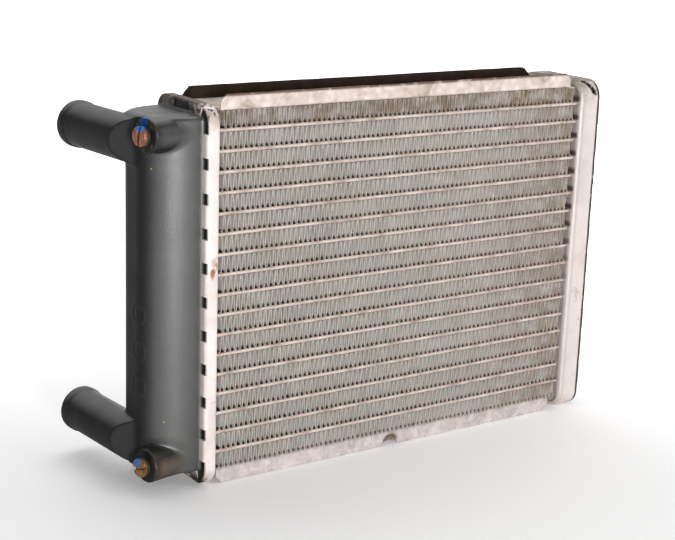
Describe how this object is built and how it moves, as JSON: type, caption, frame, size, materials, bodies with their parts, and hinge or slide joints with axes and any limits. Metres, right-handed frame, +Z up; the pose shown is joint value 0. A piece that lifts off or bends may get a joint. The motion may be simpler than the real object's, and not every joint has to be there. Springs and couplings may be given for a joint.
{
  "type": "car heater radiator",
  "caption": "Small car heater radiator: a finned flat-tube core between two side plates, with a crimped moulded tank that has two hose stubs and two slotted screws.",
  "frame": {"origin": "on the edge of the lower front flange that the core stands on, half way between the headers", "axes": "+X from the inlet and outlet tank to the return tank, +Y through the core towards the hose stubs, +Z up"},
  "size_m": [0.2618, 0.072, 0.1746],
  "materials": {
    "tube": "satin",
    "fin": "satin",
    "side_plate": "matt, mottled with oxide",
    "seal_foam": "matt",
    "header": "satin",
    "gasket": "matt",
    "tank": "satin moulding",
    "copper_screw": "worn, with a blue paint mark",
    "brass_screw": "tarnished, with a blue paint mark",
    "o_ring": "matt"
  },
  "bodies": {
    "core": {"tube_01": "tube", "tube_02": "tube", "tube_03": "tube", "tube_04": "tube", "tube_05": "tube", "tube_06": "tube", "tube_07": "tube", "tube_08": "tube", "tube_09": "tube", "tube_10": "tube", "tube_11": "tube", "tube_12": "tube", "tube_13": "tube", "tube_14": "tube", "tube_15": "tube", "tube_16": "tube", "tube_17": "tube", "fin_01": "fin", "fin_02": "fin", "fin_03": "fin", "fin_04": "fin", "fin_05": "fin", "fin_06": "fin", "fin_07": "fin", "fin_08": "fin", "fin_09": "fin", "fin_10": "fin", "fin_11": "fin", "fin_12": "fin", "fin_13": "fin", "fin_14": "fin", "fin_15": "fin", "fin_16": "fin", "fin_17": "fin", "fin_18": "fin", "top_side_plate": "side_plate", "bottom_side_plate": "side_plate", "seal_strip": "seal_foam", "left_header": "header", "right_header": "header", "left_gasket": "gasket", "right_gasket": "gasket", "inlet_outlet_tank": "tank", "return_tank": "tank"},
    "bleed_ring": {"bleed_o_ring": "o_ring"},
    "bleed_screw": {"bleed_screw": "copper_screw"},
    "drain_ring": {"drain_o_ring": "o_ring"},
    "drain_screw": {"drain_screw": "brass_screw"}
  },
  "joints": [
    {"name": "bleed_screw_lift", "type": "slide", "parent": "core", "child": "bleed_ring", "axis": [-0.9781, -0.2079, 0], "range_m": [0, 0.004]},
    {"name": "bleed_screw_turn", "type": "hinge", "parent": "bleed_ring", "child": "bleed_screw", "pos_m": [-0.1329, 0.0055, 0.1583], "axis": [-0.9781, -0.2079, 0], "range_deg": [0, 1440]},
    {"name": "drain_screw_lift", "type": "slide", "parent": "core", "child": "drain_ring", "axis": [-0.9781, -0.2079, 0], "range_m": [0, 0.004]},
    {"name": "drain_screw_turn", "type": "hinge", "parent": "drain_ring", "child": "drain_screw", "pos_m": [-0.1329, 0.0055, 0.0129], "axis": [-0.9781, -0.2079, 0], "range_deg": [0, 1440]}
  ],
  "couplings": [
    {"joint": "bleed_screw_turn", "follows": "bleed_screw_lift", "rad_per_m": 6283.2},
    {"joint": "drain_screw_turn", "follows": "drain_screw_lift", "rad_per_m": 6283.2}
  ]
}
